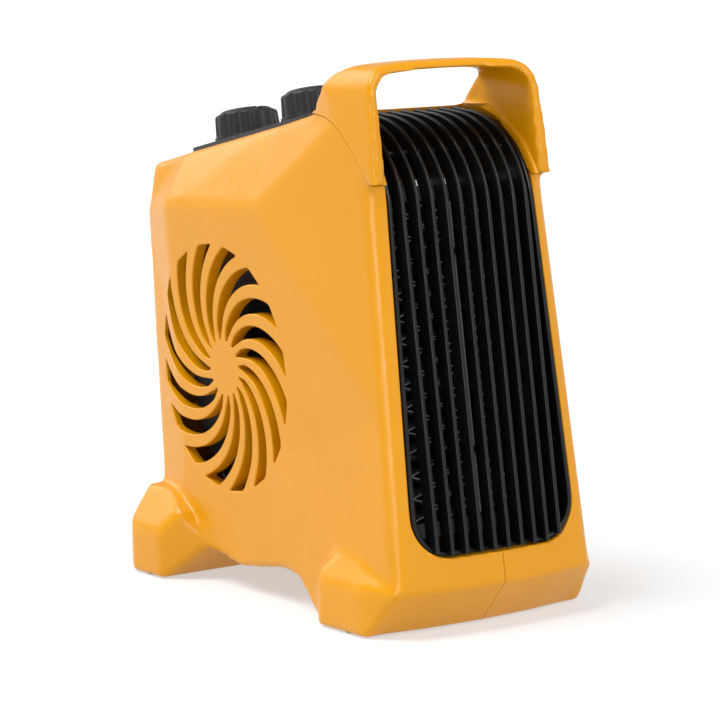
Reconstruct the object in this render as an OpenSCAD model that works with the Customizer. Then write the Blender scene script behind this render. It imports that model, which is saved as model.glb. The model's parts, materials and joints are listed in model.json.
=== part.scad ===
// Portable ceramic space heater with a carrying handle.
// Two moulded side shells meet on the plane x = 0. The front is -Y, the back +Y, up +Z.
// The origin is the centre of the base. Units are millimetres.

/* [Body] */
// Half width of the front face at the chin edge
front_half_w = 58.6; // [56:0.2:60]
// Backward lean of the front face in degrees
front_lean = 7; // [5:0.5:8]
// Inward lean of the front side edges in degrees
side_lean = 2.1; // [1.5:0.1:2.5]
// Forward bow of the front face at its centre
bow = 6.4; // [4:0.2:7]
// Height of the chin edge, where the front tucks under
chin_z = 23; // [18:1:26]
// Slope of the top deck down to the back in degrees
deck_slope = 10; // [8:0.5:11]
// Wall thickness of the shells
wall = 2.4; // [2:0.1:3]
// Half width over the feet
foot_half_w = 64.6; // [62:0.2:67]
// Height of the shell base above the floor
sole = 0.8; // [0.4:0.1:1.2]

/* [Air intake] */
// Radius of the slotted disc in each side
intake_r = 61.5; // [54:0.5:63]
// Radius of the plain hub inside the slots
intake_hub_r = 15; // [12:0.5:18]
// Number of curved slots in each side
intake_slots = 17; // [11:1:19]
// Angle the slots sweep from hub to rim
intake_sweep = 52; // [30:1:60]
// Depth of the slot walls
intake_depth = 6; // [4:0.5:7]

/* [Grille] */
// Number of ribs
rib_count = 10; // [8:1:11]
// Distance between ribs
rib_pitch = 8; // [7:0.1:8.2]
// Thickness of a rib
rib_t = 2.2; // [1.6:0.1:3]
// Depth of a rib
rib_depth = 8; // [6:0.5:9]

/* [Handle] */
// Half width of the hand opening at the front
grip_half_w = 44.8; // [42:0.2:45.4]
// Thickness of the grip at its middle
grip_t = 4.4; // [3.5:0.1:6]

/* [Controls] */
// Knob diameter
knob_d = 36; // [30:0.5:38]
// Knob height
knob_h = 16; // [12:0.5:18]
// Number of flutes around a knob
knob_flutes = 12; // [8:1:16]
// Distance between the two knobs
knob_gap = 65; // [58:1:68]

/* [Blower] */
// Outer diameter of the blower wheel
wheel_d = 92; // [80:1:96]
// Width of the blower wheel
wheel_w = 52; // [40:1:54]
// Number of blades
blade_count = 30; // [20:1:36]

/* [Heating element] */
// Height of the fin packs
fin_h = 150; // [120:1:154]
// Number of folds in a fin pack
fin_folds = 28; // [16:1:32]
// Depth of the fin packs front to back
fin_depth = 14; // [10:0.5:16]

/* [Hidden] */
$fn = 48;

total_h = 270;
front_edge_y = -120.2;
edge_r = 4;
back_y = 122;
mid_y = -3;
rear_y = 88;
skirt_y = 126.6;
deck_y = -42.6;
deck_z = total_h - 24.4;
intake_y = 35;
intake_z = 115;
seam_gap = 0.1;
fan_z = intake_z;
fan_y = intake_y;
lean = [-front_lean, 0, 0];

// ---- profiles -------------------------------------------------------------

// Height of the sloping deck at depth y
function deck(y) = deck_z - (y - deck_y) * tan(deck_slope);

// Depth of the front face edge at height z
function front_y(z) = front_edge_y + (z - chin_z) * tan(front_lean);

// Half width of the front face at height z
function front_x(z) = front_half_w - (z - chin_z) * tan(side_lean);

// Half width of the flat intake facet at depth y and height z
function flank_x(y, z) = 56.8 - 0.03 * (y - mid_y) + 0.046 * (z - 199);

// Four points across half of the bowed front
function nose(z, y, w, t) = [
    [0, y - bow + t, z],
    [-0.55 * w, y - 0.7 * bow + t, z],
    [-(w - edge_r) + t / 2, y - 0.13 * bow + t, z],
    [-w + t, y + edge_r + t / 2, z]];

// Four points from the flank to the middle of the back
function tail(xm, zm, xr, zr, xb, zb, yb, t) = [
    [-xm + t, mid_y, zm],
    [-xr + t, rear_y, zr],
    [-xb + t / 2, yb - t, zb],
    [0, yb - t, zb]];

// Outline of half the body at six levels, drawn in by t
function body_rows(t) = [
    concat(nose(sole + t, front_edge_y + 20.3, front_half_w - 1.6, t * 1.3),
        tail(51, sole + t, 48, sole + t, 42, sole + t, back_y - 1, t)),
    concat(nose(chin_z, front_edge_y, front_half_w, t),
        tail(51, chin_z, 48, chin_z, 42, chin_z, back_y - 1, t)),
    concat(nose(70, front_y(70), front_x(70), t),
        tail(flank_x(mid_y, 70), 70, flank_x(rear_y, 70), 70, 42.5, 70, back_y - 0.5, t)),
    concat(nose(105, front_y(105), front_x(105), t),
        tail(flank_x(mid_y, 105), 105, flank_x(rear_y, 105), 105, 43, 105, back_y, t)),
    concat(nose(200, front_y(200), front_x(200), t),
        tail(56.8, 199, 54, 197, 43.5, 192, back_y + 2, t)),
    [for (p = [[0, -99], [-27, -98], [-46.5, -94.5], [-50, -88], [-41, mid_y], [-40.5, rear_y],
        [-39, back_y + 2], [0, back_y + 2]])
        [min(p[0] + t, 0), p[1] + (p[1] < -90 ? t : p[1] > 100 ? -t : 0), deck(p[1]) - t * 1.02]]];

// Which way each band of the body splits its four-sided facets
split = [0, 0, 1, 0, 1];

// ---- general shapes -------------------------------------------------------

module slab_yz(pts, x0, x1) {
    translate([x0, 0, 0])
        rotate([90, 0, 90])
            linear_extrude(x1 - x0)
                polygon(pts);
}

module slab_xz(pts, y0, y1) {
    translate([0, y1, 0])
        rotate([90, 0, 0])
            linear_extrude(y1 - y0)
                polygon(pts);
}

module slab_xy(pts, z0, z1) {
    translate([0, 0, z0])
        linear_extrude(z1 - z0)
            polygon(pts);
}

module block(lo, hi) {
    translate(lo)
        cube(hi - lo);
}

module rod_x(x0, x1, y, z, r) {
    translate([x0, y, z])
        rotate([0, 90, 0])
            cylinder(h = x1 - x0, r = r);
}

module rod_y(y0, y1, x, z, r) {
    translate([x, y1, z])
        rotate([90, 0, 0])
            cylinder(h = y1 - y0, r = r);
}

module rod_z(x, y, z0, z1, r) {
    translate([x, y, z0])
        cylinder(h = z1 - z0, r = r);
}

module pair() {
    children();
    mirror([1, 0, 0])
        children();
}

// Places its child on the deck at depth y, standing square to the slope
module on_deck(y) {
    translate([0, y, deck(y)])
        rotate([-deck_slope, 0, 0])
            children();
}

// ---- casing ---------------------------------------------------------------

// Half of the body as a closed solid, ending on the plane x = cx
module body_half(t, cx) {
    rows = body_rows(t);
    n = 8;
    pts = [for (r = rows, i = [0:n - 1]) (i == 0 || i == n - 1) ? [cx, r[i][1], r[i][2]] : r[i]];
    walls = [for (j = [0:len(rows) - 2], i = [0:n - 1], k = [0, 1])
        let (a = j * n + i, b = j * n + (i + 1) % n, c = b + n, d = a + n)
        split[j] == 0 ? (k == 0 ? [a, b, c] : [a, c, d]) : (k == 0 ? [a, b, d] : [b, c, d])];
    base = [[for (i = [n - 1:-1:0]) i]];
    lid = [[for (i = [0:n - 1]) (len(rows) - 1) * n + i]];
    polyhedron(points = pts, faces = concat(base, walls, lid));
}

// The open arch under the body between the front and rear feet, grown by g
module arch(g) {
    slab_yz([[-48 - g, -2], [-24 - g, 17.4 + g], [-14, 18.4 + g], [-4, 18.4 + g], [14, 15.6 + g],
        [33, 13.6 + g], [57, 17.2 + g], [67 + g, 18.4 + g], [92 + g, -2]], -80, 80);
}

// Flared front foot
module front_foot() {
    intersection() {
        slab_xy([[-40, -124], [-front_half_w, front_edge_y], [-foot_half_w, -97],
            [-foot_half_w, -62], [-50, -39], [-40, -39]], sole, 60);
        slab_xz([[-40, -5], [-foot_half_w, -5], [-foot_half_w, 22.5], [-55, 39.5], [-40, 42]],
            -130, 0);
        slab_yz([[front_edge_y + 21, -1], [front_edge_y, chin_z], [-108, 26], [-98, 29],
            [-91, 34], [-84, 37.5], [-76, 38.6], [-68, 36.4], [-60, 30], [-53, 21],
            [-46, 10], [-39, -1]], -80, 0);
    }
}

// Flared rear foot with the rear skirt, drawn in by t and ending at x = cx
module rear_foot(t, cx) {
    intersection() {
        slab_xy([[cx, 66 + t], [-48, 66 + t], [-foot_half_w + t, 90 + t],
            [-foot_half_w + t, skirt_y - 9 - t / 2], [-60 + t, skirt_y - t], [cx, skirt_y - t]],
            sole + t, 46);
        slab_xz([[cx, -5], [-foot_half_w + t, -5], [-foot_half_w + t, 25 - t], [-52, 46 - t],
            [cx, 46 - t]], 0, 130);
        slab_yz([[60 + t, -1], [skirt_y - 1.9 - t, -1], [skirt_y - t, 8], [skirt_y - 1.4 - t, 20],
            [back_y - 1 - t, 46 - t / 2], [104, 46 - t], [97, 45 - t], [88, 41.6 - t],
            [79, 35.8 - t], [72, 28 - t], [66 + t, 18 - t], [60 + t, 8]], -80, cx);
    }
}

// Curved slot: widens from the hub and turns towards the front at the top
function slot_turn(r) = intake_sweep * pow((r - intake_hub_r) / (intake_r - intake_hub_r), 1.65);
function slot_open(r) = r < intake_hub_r + 6 ? 4 + 2.25 * (r - intake_hub_r) / 6 : 6.25;
function slot_point(r, a) = [intake_y - r * sin(a), intake_z + r * cos(a)];
slot_steps = 10;
function slot_edge(a0, side) = [for (i = [0:slot_steps])
    let (r = intake_hub_r + (intake_r - intake_hub_r) * i / slot_steps)
    slot_point(r, a0 + slot_turn(r) + side * slot_open(r))];
function reversed(v) = [for (i = [len(v) - 1:-1:0]) v[i]];

module intake_cut() {
    for (k = [0:intake_slots - 1])
        slab_yz(concat(slot_edge(k * 360 / intake_slots, -1),
            reversed(slot_edge(k * 360 / intake_slots, 1))), -70, -35);
}

// Opening for the grille, seen from the front and grown by g
function grille_outline(g) = concat(
    [[-42.6 - g, 275], [-42.6 - g, 205], [-47.4 - g, 62]],
    [for (a = [0:15:90]) [-35 - (12.6 + g) * cos(a), 50.4 - (12.6 + g) * sin(a)]],
    [for (a = [90:-15:0]) [35 + (12.6 + g) * cos(a), 50.4 - (12.6 + g) * sin(a)]],
    [[47.4 + g, 62], [42.6 + g, 205], [42.6 + g, 275]]);

// Side view of the handle, from the seam with the shells up to the grip
handle_seam = [[-97.2, 213], [-91, 220.3], [-82.8, 229.4], [-74.8, 237.5], [-68.8, 241.3],
    [-59.8, 244.1], [-51.9, 244.9], [-43, 245.6]];
handle_side = concat(
    handle_seam,
    [[-49.7, 253.2], [-55.1, 259], [-60.4, 263.7], [-66, 266.8], [-72, 269], [-78, 270],
    [-86, 270], [-92, 269], [-95, 266], [-96.8, 260], [-99, 245], [-103, 213]]);

// Room left in the shells for the handle
module handle_room() {
    slab_yz(concat([[-130, 213]], handle_seam, [[-42, 290], [-130, 290]]), -80, 80);
}

// Bosses that take the shell screws
boss_at = [[-96, 30], [-30, 28], [44, 27], [110, 84], [108, 200], [-26, 226]];

module shell_half() {
    difference() {
        union() {
            difference() {
                union() {
                    difference() {
                        body_half(0, 0);
                        arch(0);
                    }
                    difference() {
                        union() {
                            front_foot();
                            rear_foot(0, 0);
                        }
                        arch(0);
                    }
                }
                difference() {
                    union() {
                        body_half(wall, 2);
                        rear_foot(wall, 2);
                    }
                    arch(wall);
                }
            }
            intersection() {
                body_half(0.4, 0);
                rod_x(-58, -44.6, intake_y, intake_z, intake_r + 3);
                slab_xz([[-60, 20], [-60, 200], [-56.4 + intake_depth, 200],
                    [-47.4 + intake_depth, 20]], -60, 110);
            }
            for (b = boss_at)
                intersection() {
                    rod_x(-60, -seam_gap, b[0], b[1], 4);
                    body_half(0.4, 0);
                }
        }
        intake_cut();
        slab_xz(grille_outline(0.4), -140, deck_y - 1.4);
        handle_room();
        panel_holes();
        bush_hole(6.1);
        foot_recess();
        handle_pilots(-51.2, -40, 1.2);
        block([-seam_gap, -140, -5], [5, 140, 290]);
    }
}

module left_shell() {
    color("gold")
        difference() {
            shell_half();
            for (b = boss_at)
                rod_x(-22, 1, b[0], b[1], 1.4);
        }
}

module right_shell() {
    color("gold")
        difference() {
            mirror([1, 0, 0])
                shell_half();
            for (b = boss_at) {
                rod_x(-1, 80, b[0], b[1], 1.8);
                rod_x(14, 80, b[0], b[1], 3.2);
            }
        }
}

module shell_screws() {
    color("silver")
        for (b = boss_at) {
            rod_x(-16, 14.1, b[0], b[1], 1.4);
            difference() {
                rod_x(14, 16.4, b[0], b[1], 2.9);
                block([15.4, b[0] - 2.2, b[1] - 0.5], [17, b[0] + 2.2, b[1] + 0.5]);
                block([15.4, b[0] - 0.5, b[1] - 2.2], [17, b[0] + 0.5, b[1] + 2.2]);
            }
        }
}

pad_at = [[-56, -82], [56, -82], [-56, 106], [56, 106]];

module foot_recess() {
    for (p = pad_at)
        translate([p[0], p[1], -1])
            cylinder(h = 2.6, r = 6.1);
}

module foot_pads() {
    color("dimgray")
        for (p = pad_at)
            translate([p[0], p[1], 0]) {
                translate([0, 0, 0.4])
                    cylinder(h = 1.2, r = 6);
                cylinder(h = 0.5, r1 = 5.4, r2 = 6);
            }
}

// ---- handle ---------------------------------------------------------------

module handle_outline() {
    slab_xz(concat([[-52.4, 205], [-50.6, 245]],
        [for (a = [0:15:75]) [-34.8 - 15 * cos(a), 254 + 14.6 * sin(a)]],
        [[-34, total_h - 1.3], [-18, total_h - 0.3], [0, total_h], [18, total_h - 0.3],
        [34, total_h - 1.3]],
        [for (a = [75:-15:0]) [34.8 + 15 * cos(a), 254 + 14.6 * sin(a)]],
        [[50.6, 245], [52.4, 205]]), -110, 0);
}

module handle_plan() {
    slab_xy([[-54, -110], [-51.8, -75], [-50, -63], [-46.8, -48], [-46.2, -36],
        [46.2, -36], [46.8, -48], [50, -63], [51.8, -75], [54, -110]], 200, 290);
}

module grip_hole() {
    crown = total_h - grip_t;
    intersection() {
        slab_xz(concat(
            [for (a = [0:15:75]) [-grip_half_w + 11 - 11 * cos(a), crown - 12 + 10.6 * sin(a)]],
            [[-20, crown - 0.3], [0, crown], [20, crown - 0.3]],
            [for (a = [75:-15:0]) [grip_half_w - 11 + 11 * cos(a), crown - 12 + 10.6 * sin(a)]],
            [[grip_half_w, 190], [-grip_half_w, 190]]), -130, 0);
        slab_xy([[-grip_half_w - 1, -125], [-grip_half_w, -92], [-grip_half_w + 3, -46],
            [-grip_half_w + 3, -20], [grip_half_w - 3, -20], [grip_half_w - 3, -46],
            [grip_half_w, -92], [grip_half_w + 1, -125]], 180, 290);
    }
}

// Side view of the grille face, drawn in by d from the rib tips
rib_bend_r = 48;
rib_foot_y = -121.4;
function rib_arc(d) = [for (a = [front_lean:-7:-85])
    [-53.3 - (rib_bend_r - d) * cos(a), 194.2 - (rib_bend_r - d) * sin(a)]];
function rib_face(d) = concat(
    [[rib_foot_y + d, 34]],
    rib_arc(d),
    [[-44, 243.4 - d]]);
function rib_band(d0, d1) = concat(rib_face(d0), reversed(rib_face(d1)));

// The two ledges that carry the grille edge up under the grip
module handle_ledges() {
    intersection() {
        slab_yz(rib_band(-3.4, 4.5), -46, 46);
        handle_room();
        difference() {
            block([-46, -120, 205], [46, -44, 262]);
            block([-43, -121, 204], [43, -43, 263]);
        }
    }
}

// Positions of the screws that hold the handle, from inside the shells
handle_screw_at = [[-86, 207], [-75, 225]];

module handle_pilots(x0, x1, r) {
    for (p = handle_screw_at)
        rod_x(x0, x1, p[0], p[1], r);
}

module handle_tab() {
    difference() {
        slab_yz([[-92, 201], [-80, 201], [-68, 218], [-66, 238], [-84, 238], [-94, 222]],
            -48.8, -46.2);
        handle_pilots(-60, -40, 1.5);
    }
}

module handle() {
    color("gold")
        union() {
            difference() {
                intersection() {
                    slab_yz(handle_side, -60, 60);
                    handle_outline();
                    handle_plan();
                }
                grip_hole();
            }
            handle_ledges();
            pair()
                handle_tab();
        }
}

module handle_screws() {
    color("silver")
        pair()
            for (p = handle_screw_at) {
                rod_x(-51, -46.2, p[0], p[1], 1.2);
                rod_x(-46.2, -44.6, p[0], p[1], 2.4);
            }
}

// ---- grille ---------------------------------------------------------------

// How far the grille stands forward at half width x
function rib_bow(x) = 3.2 * (1 - pow(x / 45, 2));
rib_tip = -1.6;
bar_at = [[-77.4, 228], [-97, 179], [-108.5, 85]];

module grille_ribs() {
    for (i = [0:rib_count - 1])
        let (x = (i - (rib_count - 1) / 2) * rib_pitch)
        translate([0, -rib_bow(x), 0])
            slab_yz(rib_band(rib_tip, rib_tip + rib_depth), x - rib_t / 2, x + rib_t / 2);
}

module grille_rim() {
    intersection() {
        slab_yz(rib_band(0.4, rib_depth), -50, 50);
        difference() {
            slab_xz(grille_outline(0), -135, -40);
            slab_xz(grille_outline(-2.4), -136, -39);
        }
    }
}

// Lip that sits behind the edge of the opening in the shells
module grille_lip() {
    intersection() {
        slab_yz(rib_band(3.8, 5.4), -60, 60);
        difference() {
            slab_xz(grille_outline(3), -135, -40);
            slab_xz(grille_outline(-2.4), -136, -39);
        }
        block([-60, -140, 35], [60, -40, 203]);
    }
}

module front_grille() {
    color("dimgray")
        union() {
            intersection() {
                union() {
                    grille_ribs();
                    for (b = bar_at)
                        rod_x(-50, 50, b[0], b[1], 2);
                    block([-50, -116.4, 38], [50, -112.6, 42]);
                    block([-50, -48, 236], [50, -44, 240.4]);
                }
                slab_xz(grille_outline(0), -135, -40);
            }
            grille_rim();
            grille_lip();
        }
}

// ---- controls -------------------------------------------------------------

panel_y = [113, -6];
panel_mid = (panel_y[0] + panel_y[1]) / 2;
panel_len = (panel_y[0] - panel_y[1]) / cos(deck_slope);
panel_half_w = 23;
panel_t = 4.6;
selector_y = 88;
thermostat_y = selector_y - knob_gap;
panel_screw_y = [104, 56, -1];
shaft_r = 3;
turn_gap = 0.05;
knob_base = panel_t + 0.4;

module panel_holes() {
    for (y = [selector_y, thermostat_y])
        on_deck(y)
            rod_z(0, 0, -12, 18, 8);
    for (y = panel_screw_y, x = [-15, 15])
        on_deck(y)
            rod_z(x, 0, -12, 8, 1.3);
}

module control_panel() {
    r = 7;
    w = panel_half_w;
    l = panel_len / 2;
    color("dimgray")
        difference() {
            on_deck(panel_mid)
                union() {
                    block([-w + r, -l, 0], [w - r, l, panel_t]);
                    block([-w, -l + r, 0], [w, l - r, panel_t]);
                    for (x = [-w + r, w - r], y = [-l + r, l - r])
                        rod_z(x, y, 0, panel_t, r);
                }
            for (y = [selector_y, thermostat_y])
                on_deck(y)
                    rod_z(0, 0, -5, 15, 4.6);
            for (y = panel_screw_y, x = [-15, 15])
                on_deck(y) {
                    rod_z(x, 0, -5, 15, 1.6);
                    rod_z(x, 0, panel_t - 1.8, 8, 3);
                }
        }
}

module panel_screws() {
    color("silver")
        for (y = panel_screw_y, x = [-15, 15])
            on_deck(y)
                difference() {
                    union() {
                        rod_z(x, 0, -8, panel_t - 1.8, 1.3);
                        rod_z(x, 0, panel_t - 1.8, panel_t - 0.4, 2.7);
                    }
                    block([x - 2, -0.4, panel_t - 1], [x + 2, 0.4, panel_t + 1]);
                    block([x - 0.4, -2, panel_t - 1], [x + 0.4, 2, panel_t + 1]);
                }
}

// Fluted knob standing on the deck, with a bore for its shaft
module knob(y) {
    r = knob_d / 2;
    on_deck(y)
        translate([0, 0, knob_base])
            difference() {
                union() {
                    cylinder(h = 2.4, r = r);
                    translate([0, 0, 2.3])
                        cylinder(h = knob_h - 5.3, r1 = r - 0.6, r2 = r - 1.4);
                    translate([0, 0, knob_h - 3.1])
                        cylinder(h = 3.1, r1 = r - 1.4, r2 = r - 4.6);
                }
                for (k = [0:knob_flutes - 1])
                    rotate([0, 0, (k + 0.5) * 360 / knob_flutes])
                        translate([r + 2.4, 0, 2.4])
                            cylinder(h = knob_h, r = 4.4);
                translate([0, 0, -1])
                    cylinder(h = 11, r = shaft_r);
                translate([0, 0, -1])
                    difference() {
                        cylinder(h = 7, r = r - 3);
                        translate([0, 0, -1])
                            cylinder(h = 9, r = shaft_r + 2.6);
                    }
                block([-1, -r + 2.4, knob_h - 0.8], [1, -2, knob_h + 1]);
            }
}

module pointer(y) {
    r = knob_d / 2;
    on_deck(y)
        translate([0, 0, knob_base])
            block([-1, -r + 5, knob_h - 0.8], [1, -2, knob_h + 0.2]);
}

module dial_shaft(y) {
    on_deck(y)
        union() {
            translate([0, 0, -16])
                cylinder(h = 16 + knob_base + 10, r = shaft_r);
            translate([0, 0, -16])
                cylinder(h = 3, r = 5.4);
        }
}

// Body of a rotary control hanging under the deck from a bush through the panel
module dial_body(y, hw, hl, depth) {
    on_deck(y)
        difference() {
            union() {
                block([-hw, -hl, -depth], [hw, hl, -4]);
                translate([0, 0, -4.1])
                    cylinder(h = 4.1 + panel_t - 0.4, r = 4.6);
            }
            translate([0, 0, -14])
                cylinder(h = 40, r = shaft_r + turn_gap);
            translate([0, 0, -depth + 2])
                cylinder(h = depth - 14.4, r = 5.8);
        }
}

module mode_knob() {
    color("dimgray")
        knob(selector_y);
}

module mode_pointer() {
    color("white")
        pointer(selector_y);
}

module thermostat_knob() {
    color("dimgray")
        knob(thermostat_y);
}

module thermostat_pointer() {
    color("white")
        pointer(thermostat_y);
}

module selector_shaft() {
    color("silver")
        dial_shaft(selector_y);
}

module thermostat_shaft() {
    color("silver")
        dial_shaft(thermostat_y);
}

module selector_switch() {
    color("ivory")
        union() {
            dial_body(selector_y, 12, 12, 24);
            on_deck(selector_y)
                for (x = [-8, 0, 8])
                    block([x - 3, -0.4, -31], [x + 3, 0.4, -23.9]);
        }
}

module thermostat_body() {
    color("sienna")
        dial_body(thermostat_y, 10, 14, 22);
}

module thermostat_contacts() {
    color("goldenrod")
        on_deck(thermostat_y)
            union() {
                block([-3, -14.8, -24], [3, -14, -10]);
                block([-3, -14.8, -24.8], [3, 16, -24]);
                block([-3, 15.2, -34], [3, 16, -24]);
                block([-3, -16.8, -34], [3, -16, -14]);
                block([-3, -16.8, -14.8], [3, -14, -14]);
            }
}

// ---- blower ---------------------------------------------------------------

scroll_x = 32;
scroll_r0 = wheel_d / 2 + 5;
scroll_grow = 24;
outlet_y = -72.9;

// Scroll radius, growing from the tongue over the top and back to the bottom
function scroll_r(a) = scroll_r0 + scroll_grow * (a - 60) / 210;
function scroll_curve(d) = [for (a = [60:10:270])
    [fan_y - (scroll_r(a) + d) * cos(a), fan_z + (scroll_r(a) + d) * sin(a)]];
function scroll_line(d) = concat(
    [[outlet_y, 206 + d * 1.2]],
    scroll_curve(d),
    [[outlet_y - 20.2, 45 - d * 1.1]]);

module blower_scroll() {
    color("darkslategray")
        slab_yz(concat(scroll_line(0), reversed(scroll_line(2))), -scroll_x + 2, scroll_x - 2);
}

module inlet_plate(side) {
    x0 = side < 0 ? -scroll_x : scroll_x - 2;
    difference() {
        union() {
            slab_yz(scroll_line(2), x0, x0 + 2);
            translate([side * (scroll_x - 1), fan_y, fan_z])
                rotate([0, 90, 0])
                    difference() {
                        cylinder(h = 6.8, r = 43.5, center = true);
                        cylinder(h = 9, r = 41, center = true);
                    }
        }
        rod_x(x0 - 1, x0 + 3, fan_y, fan_z, 41);
        if (side > 0)
            for (a = [30, 150, 270])
                rotate_about_fan(a)
                    rod_x(x0 - 1, x0 + 3, fan_y + 50, fan_z, 1.2);
    }
}

module rotate_about_fan(a) {
    translate([0, fan_y, fan_z])
        rotate([a, 0, 0])
            translate([0, -fan_y, -fan_z])
                children();
}

module inlet_plate_left() {
    color("darkslategray")
        inlet_plate(-1);
}

module inlet_plate_right() {
    color("darkslategray")
        inlet_plate(1);
}

axle_r = 2;
blade_in_r = wheel_d / 2 - 9;

module blower_wheel() {
    r = wheel_d / 2;
    hw = wheel_w / 2;
    color("gainsboro")
        union() {
            difference() {
                union() {
                    rod_x(-1, 1, fan_y, fan_z, r - 3);
                    rod_x(-10, 1, fan_y, fan_z, 7);
                }
                rod_x(-11, 2, fan_y, fan_z, axle_r);
            }
            for (k = [0:blade_count - 1])
                rotate_about_fan(k * 360 / blade_count)
                    translate([0, fan_y + blade_in_r, fan_z])
                        rotate([28, 0, 0])
                            block([0.7 - hw, 0, -0.6], [hw - 0.7, 9, 0.6]);
            for (x = [-hw, hw - 2])
                difference() {
                    rod_x(x, x + 2, fan_y, fan_z, r);
                    rod_x(x - 1, x + 3, fan_y, fan_z, r - 4);
                }
        }
}

module motor_shaft() {
    color("silver")
        union() {
            rod_x(-10, 38, fan_y, fan_z, axle_r);
            rod_x(13, 27, fan_y, fan_z, 7.6);
        }
}

module motor_can() {
    color("silver")
        difference() {
            rod_x(5, 37, fan_y, fan_z, 18);
            rod_x(6.2, 35.8, fan_y, fan_z, 16.8);
            rod_x(4, 40, fan_y, fan_z, 5);
            for (a = [0:60:300])
                rotate_about_fan(a)
                    rod_x(35, 38, fan_y + 11, fan_z, 2.4);
        }
}

module motor_stator() {
    color("chocolate")
        difference() {
            union() {
                rod_x(12, 28, fan_y, fan_z, 16.8);
                for (a = [0, 90, 180, 270])
                    rotate_about_fan(a)
                        block([10, fan_y + 9, fan_z - 4], [30, fan_y + 15, fan_z + 4]);
            }
            rod_x(9, 31, fan_y, fan_z, 8.1);
            for (a = [45, 135, 225, 315])
                rotate_about_fan(a)
                    rod_x(9, 31, fan_y + 12, fan_z, 2.2);
        }
}

module motor_bearings() {
    color("peru")
        for (x = [5, 32])
            difference() {
                union() {
                    rod_x(x, x + 5, fan_y, fan_z, 5);
                    rod_x(x < 10 ? 6.2 : 33, x < 10 ? 9 : 35.8, fan_y, fan_z, 6.4);
                }
                rod_x(x - 1, x + 6, fan_y, fan_z, axle_r + turn_gap);
            }
}

module motor_bracket() {
    color("silver")
        difference() {
            union() {
                rod_x(31, 36.5, fan_y, fan_z, 20.4);
                for (a = [30, 150, 270])
                    rotate_about_fan(a) {
                        block([34.5, fan_y + 15, fan_z - 5], [36.5, fan_y + 50, fan_z + 5]);
                        rod_x(34.5, 36.5, fan_y + 50, fan_z, 5);
                    }
            }
            rod_x(30, 38, fan_y, fan_z, 18);
            for (a = [30, 150, 270])
                rotate_about_fan(a)
                    rod_x(30, 38, fan_y + 50, fan_z, 1.6);
        }
}

module motor_dampers() {
    color("dimgray")
        for (a = [30, 150, 270])
            rotate_about_fan(a)
                difference() {
                    rod_x(scroll_x, 34.5, fan_y + 50, fan_z, 4.4);
                    rod_x(scroll_x - 1, 36, fan_y + 50, fan_z, 1.6);
                }
}

module motor_screws() {
    color("silver")
        for (a = [30, 150, 270])
            rotate_about_fan(a)
                difference() {
                    union() {
                        rod_x(scroll_x - 2.6, 36.5, fan_y + 50, fan_z, 1.2);
                        rod_x(36.5, 38.1, fan_y + 50, fan_z, 2.8);
                    }
                    block([37.3, fan_y + 48, fan_z - 0.4], [39, fan_y + 52, fan_z + 0.4]);
                }
}

// ---- heating element ------------------------------------------------------

heater_half_w = 42;
heater_half_h = 83;
tube_w = 3.6;
pack_w = 16.2;
pack_pitch = pack_w + tube_w;

// Places its child in the frame of the leaning heating element
module in_heater() {
    translate([0, -91, 127])
        rotate(lean)
            children();
}

module heater_frame() {
    win_x = 2 * pack_w + 1.5 * tube_w;
    win_z = fin_h / 2 + 1;
    color("darkslategray")
        in_heater()
            difference() {
                union() {
                    block([-heater_half_w, -8, -heater_half_h], [heater_half_w, 8, heater_half_h]);
                    block([-heater_half_w - 2, 6, -heater_half_h], [heater_half_w + 2, 8,
                        heater_half_h]);
                }
                block([-win_x, -10, -win_z], [win_x, 10, win_z]);
                for (x = [-pack_pitch, 0, pack_pitch])
                    block([x - 1.8, -7, win_z - 1], [x + 1.8, 7, heater_half_h + 1]);
            }
}

// One corrugated pack between two cover strips, centred at half width x
module fin_pack(x) {
    x0 = x - pack_w / 2;
    x1 = x + pack_w / 2;
    step = (fin_h - 1) / fin_folds;
    for (i = [0:fin_folds - 1])
        let (z = -fin_h / 2 + 0.2 + i * step, lo = i % 2 == 0 ? z : z + step,
            hi = i % 2 == 0 ? z + step : z)
        slab_xz([[x0 + 0.2, lo], [x1 - 0.2, hi], [x1 - 0.2, hi + 0.6], [x0 + 0.2, lo + 0.6]],
            -fin_depth / 2 + 0.2, fin_depth / 2 - 0.2);
    for (e = [x0, x1 - 0.7])
        block([e, -fin_depth / 2, -fin_h / 2], [e + 0.7, fin_depth / 2, fin_h / 2]);
}

module heater_fins() {
    color("silver")
        in_heater()
            for (k = [-1.5, -0.5, 0.5, 1.5])
                fin_pack(k * pack_pitch);
}

stone_h = fin_h / 6 - 1.5;

module heater_tubes() {
    color("silver")
        in_heater()
            for (x = [-pack_pitch, 0, pack_pitch])
                difference() {
                    block([x - tube_w / 2, -6.6, -fin_h / 2], [x + tube_w / 2, 6.6, fin_h / 2]);
                    block([x - 1.3, -5.8, -fin_h / 2 - 1], [x + 1.3, 5.8, fin_h / 2 + 1]);
                }
}

module ceramic_stones() {
    color("lightgray")
        in_heater()
            for (x = [-pack_pitch, 0, pack_pitch], i = [0:5])
                let (z = -fin_h / 2 + 1 + i * fin_h / 6)
                block([x - 1.3, -5.6, z], [x + 1.3, 5.6, z + stone_h]);
}

module heater_terminals() {
    color("goldenrod")
        in_heater()
            for (x = [-pack_pitch, 0, pack_pitch])
                difference() {
                    union() {
                        block([x - 0.4, -5, fin_h / 2 + 0.1], [x + 0.4, 5, heater_half_h + 5]);
                        block([x - 0.4, -3.15, heater_half_h + 4.9], [x + 0.4, 3.15,
                            heater_half_h + 13]);
                    }
                    rod_x(x - 2, x + 2, 0, heater_half_h + 10, 0.9);
                }
}

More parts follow.
